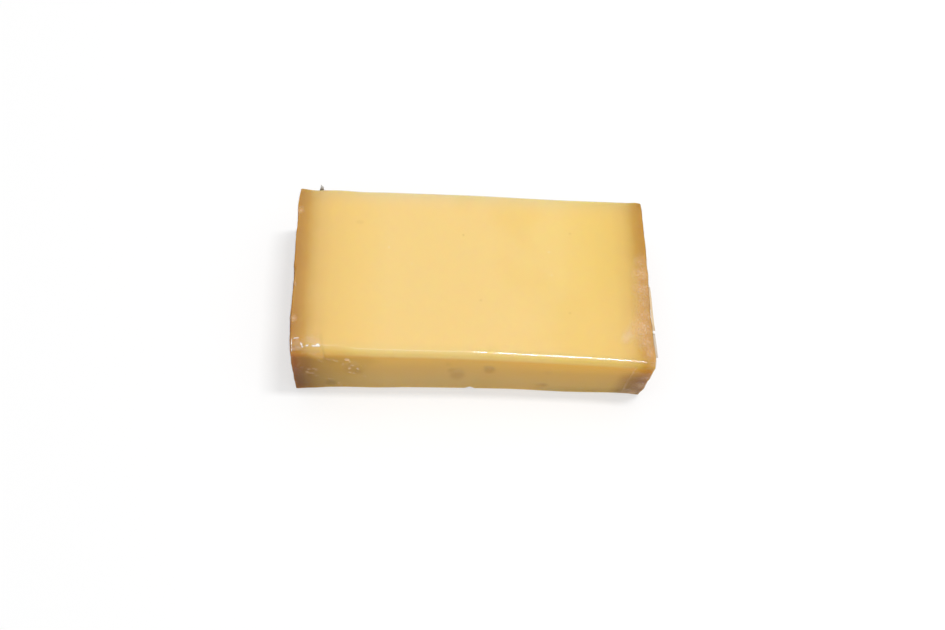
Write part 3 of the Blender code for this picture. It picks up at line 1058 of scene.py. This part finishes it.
def make_cheese(slab):
    x, y, z = slab.box_x, slab.box_y, slab.box_z
    # Painted shade in the eyes
    front_eye_shade = side_spots(slab.on_front, x, z, FRONT_EYE_SHADES)
    back_eye_shade = side_spots(slab.on_back, x, z, BACK_EYE_SHADES)

    below = np.maximum(HEIGHT * (1 - THINNING * x / slab.half[0]) - slab.points[:, 2], 0.0)
    shelf = rise(x, SHELF_FROM, SHELF_TO) * (1 - ease((x - SHELF_TO) / SHELF_END))
    lit_below = below - SHELF_DEPTH * shelf * slab.on_front
    on_shelf = SHELF_TONE_SHARE * shelf * ease((below - SHELF_TONE_FROM) / SHELF_TONE_DEPTH)
    # Painted shade of the long sides, by how far below the top a point is
    side = np.maximum(rise(lit_below, *SIDE_SHADE_DOWN), on_shelf)
    side *= rise(np.abs(slab.out[:, 1]), *FACES_SIDEWAYS)
    # Painted shade of the front towards its left end and its right end, darker further down
    painted_shade_left = slab.on_front * rise(lit_below, *SHADE_LEFT_DOWN) * rise(x, *SHADE_LEFT_ALONG)
    painted_shade_right = slab.on_front * rise(lit_below, *SHADE_RIGHT_DOWN) * rise(x, *SHADE_RIGHT_ALONG)

    # Painted reflection: greyer and bluer along the top's back edge and its front edge
    back = slab.on_top * fall(slab.half[1] - y, BACK_REFLECTION_REACH)
    rim = rise(slab.out[:, 2], *FACES_STRAIGHT_UP) * fall(y + slab.half[1], FRONT_REFLECTION_REACH)
    golden = GOLDEN_AT_FRONT + (1 - GOLDEN_AT_FRONT) * rise(y, *GOLDEN_BACKWARDS)
    marks = {
        "rind": slab.on_end,
        "rind_line": slab.rind_line,
        "eye_shade": np.maximum(front_eye_shade, back_eye_shade),
        "left_painted_shade": painted_shade_left,
        "painted_shade_right": painted_shade_right,
        "back": back,
        "rim": rim,
        "golden": rise(x, *GOLDEN_ALONG) * golden,
        "bloom": np.maximum(slab.bloom, strongest(slab.points, PEACH_SPOTS)),
        "side": side,
        "air": slab.air,
    }
    cheese = make_mesh("comte_cheese", slab.points - slab.out * film_gap(slab)[:, None], slab.quads, marks)
    cheese.data.materials.append(cheese_material())
    return cheese


def film_gloss(points):
    """The film's gloss at each point, as a share of its usual one."""
    dull = np.zeros(len(points))
    for *middle, half_width, less in DULL_SPOTS:
        away = np.linalg.norm(points - np.array(middle) * MM, axis=1)
        dull = np.maximum(dull, less * (1 - rise(away / (half_width * MM), *DULL_SPOT_EDGE)))
    shiny = TIGHT_LINE_MORE * (1 - ease(near_path(points, TIGHT_LINE) / TIGHT_LINE_HALF_WIDTH))
    return (1 + shiny) * (1 - dull)


def make_film(slab):
    points = slab.points
    lift, haze, opaque_and_painted, grey = (np.zeros(len(points)) for _ in range(4))
    for height, half_width, strength, path in CREASES:
        crease = ridge(points, path, half_width)
        lift = np.maximum(lift, height * MM * crease)
        haze = np.maximum(haze, strength * crease)
    # Painted light as pale veils, and painted shade as grey lines
    for half_width, cover, greyness, path in PAINTED_VEILS:
        painted_veil = cover * ridge(points, path, half_width)
        grey = np.where(painted_veil > opaque_and_painted, greyness, grey)
        opaque_and_painted = np.maximum(opaque_and_painted, painted_veil)
    # Painted shade: grey patches on the film
    for *oval_in_mm, cover in SHADE_SPOTS:
        shade_spot = slab.on_front * spot(points[:, 0], points[:, 2], *(np.array(oval_in_mm) * MM))
        grey = np.maximum(grey, np.ceil(shade_spot))
        opaque_and_painted = np.maximum(opaque_and_painted, cover * shade_spot)
    # Painted glints: the film is raised a little along these wrinkles and painted white
    for half_width, path in GLINT_FOLDS:
        glint_fold = 1 - rise(near_path(points, path) / (half_width * MM), *GLINT_FOLD_EDGE)
        lift = np.maximum(lift, GLINT_FOLD_HEIGHT * glint_fold)
        grey *= 1 - np.ceil(glint_fold)
        opaque_and_painted = np.maximum(opaque_and_painted, glint_fold)
    lift += AIR_LIFT * slab.air
    marks = {
        "haze": np.maximum(haze, AIR_HAZE * slab.air),
        "opaque_and_painted": opaque_and_painted,
        "grey": grey,
        "bloom": slab.bloom * (1 - BLOOM_WORN * rise(slab.rind_line, *BLOOM_WORN_FROM) * slab.on_top),
        "gloss": film_gloss(points),
    }
    film = make_mesh("clear_film", points + slab.out * lift[:, None], slab.quads, marks)
    film.data.materials.append(film_material())
    return film


def add_film_edge(name, path, shifts, cover, cream, grey):
    """A thin free edge of film. Its root follows path, and its rim is the root moved by shifts, in mm."""
    root = np.array(path) * MM
    rim = root + np.array(shifts) * MM
    count = len(root)
    side = np.cross(np.gradient(root, axis=0), rim - root)
    side *= FILM_EDGE_HALF_THICKNESS / np.linalg.norm(side, axis=1, keepdims=True)
    points = np.concatenate([root + side, rim + side, rim - side, root - side])
    quads = []
    for row in range(4):
        for step in range(count - 1):
            first, after = row * count + step, (row + 1) % 4 * count + step
            quads.append((first, after, after + 1, first + 1))
    for end in (0, count - 1):
        ring = [row * count + end for row in range(4)]
        quads.append(ring if end else ring[::-1])
    rows = np.repeat((0, 1, 1, 0), count)
    marks = {
        "gloss": np.ones(len(points)),
        "opaque_and_painted": np.array(cover)[rows],
        "cream": np.full(len(points), cream),
        "grey": np.array(grey)[rows],
    }
    return make_mesh(name, points, np.array(quads), marks)


def add_floor():
    mesh = bpy.data.meshes.new("floor")
    corners = [(FLOOR_REACH * x, FLOOR_REACH * y, 0.0) for x, y in ((-1, -1), (1, -1), (1, 1), (-1, 1))]
    mesh.from_pydata(corners, [], [(0, 1, 2, 3)])
    mesh.materials.append(floor_material())
    floor = bpy.data.objects.new("floor", mesh)
    bpy.context.scene.collection.objects.link(floor)


def add_camera():
    turns = (CAMERA_AZIMUTH, CAMERA_ELEVATION, CAMERA_ROLL)
    azimuth, elevation, roll = (math.radians(turn) for turn in turns)
    back = Vector((
        math.sin(azimuth) * math.cos(elevation),
        -math.cos(azimuth) * math.cos(elevation),
        math.sin(elevation),
    ))
    right = Vector((0.0, 0.0, 1.0)).cross(back).normalized()
    up = back.cross(right)
    turned_right = math.cos(roll) * right + math.sin(roll) * up
    turned_up = back.cross(turned_right)
    camera = bpy.data.objects.new("camera", bpy.data.cameras.new("camera"))
    axes = Matrix((turned_right, turned_up, back)).transposed().to_4x4()
    camera.matrix_world = Matrix.Translation(CAMERA_AIM + back * CAMERA_DISTANCE) @ axes
    camera.data.lens = CAMERA_LENS
    camera.data.sensor_width = SENSOR_WIDTH
    camera.data.sensor_fit = "HORIZONTAL"
    camera.data.clip_start = NEAREST_SHOWN
    bpy.context.scene.collection.objects.link(camera)
    bpy.context.scene.camera = camera


def add_light():
    world = bpy.data.worlds.new("soft_light")
    world.use_nodes = True
    nodes, links = world.node_tree.nodes, world.node_tree.links
    direction = nodes.new("ShaderNodeTexCoord")
    axes = nodes.new("ShaderNodeSeparateXYZ")
    height = nodes.new("ShaderNodeMath")
    height.operation = "MAXIMUM"
    height.inputs[1].default_value = WORLD_EVEN_UP_TO
    growth = nodes.new("ShaderNodeMath")
    growth.operation = "POWER"
    growth.inputs[1].default_value = WORLD_POWER
    strength = nodes.new("ShaderNodeMath")
    strength.operation = "MULTIPLY_ADD"
    strength.inputs[1].default_value = WORLD_GROWING
    strength.inputs[2].default_value = WORLD_ALL_OVER
    links.new(direction.outputs["Generated"], axes.inputs[0])
    links.new(axes.outputs["Z"], height.inputs[0])
    links.new(height.outputs[0], growth.inputs[0])
    links.new(growth.outputs[0], strength.inputs[0])
    links.new(strength.outputs[0], nodes["Background"].inputs["Strength"])
    nodes["Background"].inputs["Color"].default_value = (1.0, 1.0, 1.0, 1.0)
    bpy.context.scene.world = world
    for name, place, size, watts in LIGHTS:
        data = bpy.data.lights.new(name, "AREA")
        data.shape = "RECTANGLE"
        data.size, data.size_y = size
        data.energy = watts
        light = bpy.data.objects.new(name, data)
        light.location = place
        bpy.context.scene.collection.objects.link(light)


slab = Slab()
cheese = make_cheese(slab)
film = make_film(slab)
film_edges = [add_film_edge(*edge) for edge in FILM_EDGES]
for edge in film_edges:
    edge.data.materials.append(film.data.materials[0])
in_film = [(piece, "clear_film") for piece in (film, *film_edges)]
for piece, slot in ((cheese, "cheese_paste"), *in_film):
    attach(piece, "root")
    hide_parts("wrapped_cheese")
add_floor()
add_camera()
add_light()
bpy.context.scene.view_settings.view_transform = "Standard"
